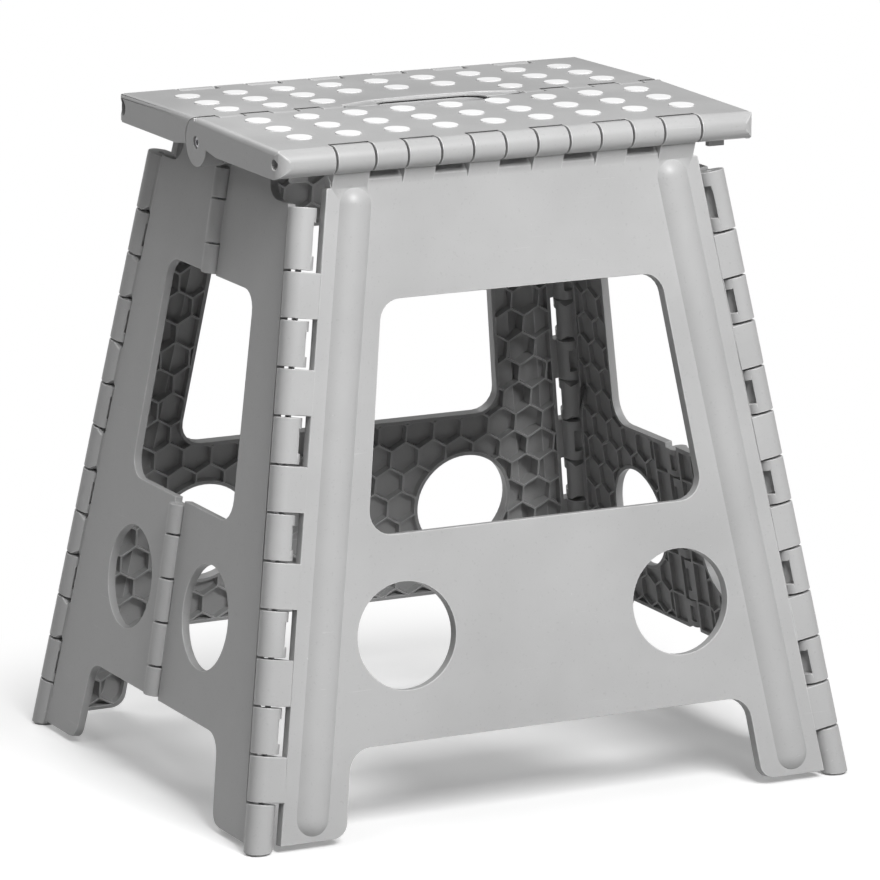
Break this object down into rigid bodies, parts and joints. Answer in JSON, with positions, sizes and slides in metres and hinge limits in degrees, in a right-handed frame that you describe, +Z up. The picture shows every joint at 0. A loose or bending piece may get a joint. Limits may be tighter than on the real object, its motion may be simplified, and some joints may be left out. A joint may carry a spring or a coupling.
{
  "type": "folding stool",
  "caption": "Folding step stool with hinged moulded panels, honeycomb ribs, a hand slot and raised grip dots on a two-part seat.",
  "frame": {"origin": "on the floor, under the middle of the open stool", "axes": "+Z up, +X to the right, the front panel faces -Y"},
  "size_m": [0.3864, 0.3256, 0.3898],
  "materials": {
    "panel": "satin moulded grey",
    "side_panel": "satin moulded grey",
    "seat": "satin moulded grey",
    "grip": "matt white soft plastic",
    "foot": "matt off-white",
    "rod": "drawn steel rod"
  },
  "bodies": {
    "front": {"front_panel": "panel", "left_front_rod": "rod", "right_front_rod": "rod", "seat_front_rod": "rod"},
    "left_front": {"left_front_panel": "side_panel", "left_upper_rod": "rod", "left_lower_rod": "rod", "left_front_plug": "foot"},
    "left_back": {"left_back_panel": "side_panel", "left_back_plug": "foot"},
    "back": {"back_panel": "panel", "left_back_rod": "rod", "right_back_rod": "rod", "seat_back_rod": "rod"},
    "right_front": {"right_front_panel": "side_panel", "right_upper_rod": "rod", "right_lower_rod": "rod", "right_front_plug": "foot"},
    "right_back": {"right_back_panel": "side_panel", "right_back_plug": "foot"},
    "front_seat": {"seat_front": "seat", "front_dots": "grip", "seat_left_pin": "rod", "seat_right_pin": "rod"},
    "back_seat": {"seat_back": "seat", "back_dots": "grip"}
  },
  "joints": [
    {"name": "left_front_fold", "type": "hinge", "parent": "front", "child": "left_front", "pos_m": [-0.1852, -0.153, 0], "axis": [-0.1546, -0.1546, -0.9758], "range_deg": [0, 84]},
    {"name": "left_middle_fold", "type": "hinge", "parent": "left_front", "child": "left_back", "pos_m": [-0.18964, 0, 0.0007], "axis": [0.1564, 0, 0.9877], "range_deg": [0, 165.4]},
    {"name": "left_back_fold", "type": "hinge", "parent": "left_back", "child": "back", "pos_m": [-0.1852, 0.153, 0], "axis": [-0.1546, 0.1546, -0.9758], "range_deg": [0, 84.2]},
    {"name": "right_front_fold", "type": "hinge", "parent": "front", "child": "right_front", "pos_m": [0.1852, -0.153, 0], "axis": [-0.1546, 0.1546, 0.9758], "range_deg": [0, 84]},
    {"name": "right_middle_fold", "type": "hinge", "parent": "right_front", "child": "right_back", "pos_m": [0.18964, 0, 0.0007], "axis": [0.1564, 0, -0.9877], "range_deg": [0, 165.4]},
    {"name": "seat_front_fold", "type": "hinge", "parent": "front", "child": "front_seat", "pos_m": [0, -0.1055, 0.3796], "axis": [1, 0, 0], "range_deg": [0, 71.2]},
    {"name": "seat_middle_fold", "type": "hinge", "parent": "front_seat", "child": "back_seat", "pos_m": [0, 0, 0.3755], "axis": [-1, 0, 0], "range_deg": [0, 153.1]}
  ],
  "couplings": [
    {"joint": "left_middle_fold", "follows": "left_front_fold", "ratio": 1.9695},
    {"joint": "left_back_fold", "follows": "left_front_fold", "ratio": 1.0019},
    {"joint": "right_front_fold", "follows": "left_front_fold", "ratio": 1},
    {"joint": "right_middle_fold", "follows": "left_front_fold", "ratio": 1.9695},
    {"joint": "seat_front_fold", "follows": "left_front_fold", "ratio": 0.8474},
    {"joint": "seat_middle_fold", "follows": "left_front_fold", "ratio": 1.8229}
  ]
}
